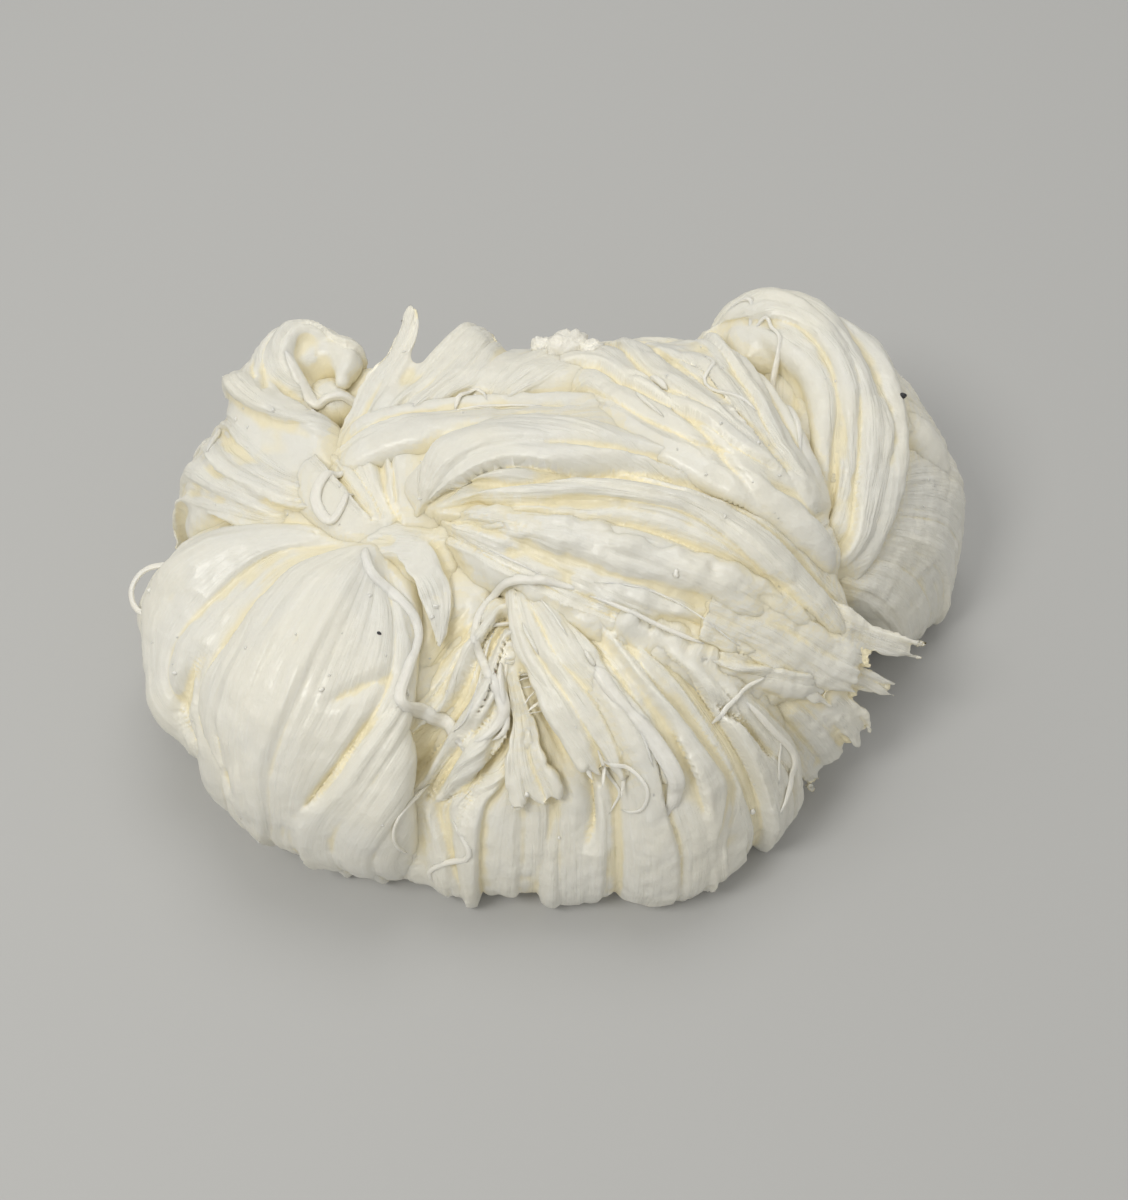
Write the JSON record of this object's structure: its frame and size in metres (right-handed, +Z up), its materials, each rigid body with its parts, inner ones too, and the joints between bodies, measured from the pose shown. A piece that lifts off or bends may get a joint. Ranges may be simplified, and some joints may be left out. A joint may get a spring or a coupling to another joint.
{
  "type": "braided string cheese hank",
  "caption": "Hank of braided string cheese: skeins of pulled white curd twisted, looped and tucked into a knot, with frayed ends and a flat underside.",
  "frame": {"origin": "middle of the hank's box, on the flat underside it lies on", "axes": "+X right, along the hank's length, +Y to the back, +Z up"},
  "size_m": [0.1737, 0.1125, 0.0591],
  "materials": {
    "curd": "moist pulled curd, creamy white, softly glossy, a little see-through at thin edges"
  },
  "bodies": {
    "root": {"cheese": "curd"}
  },
  "joints": []
}
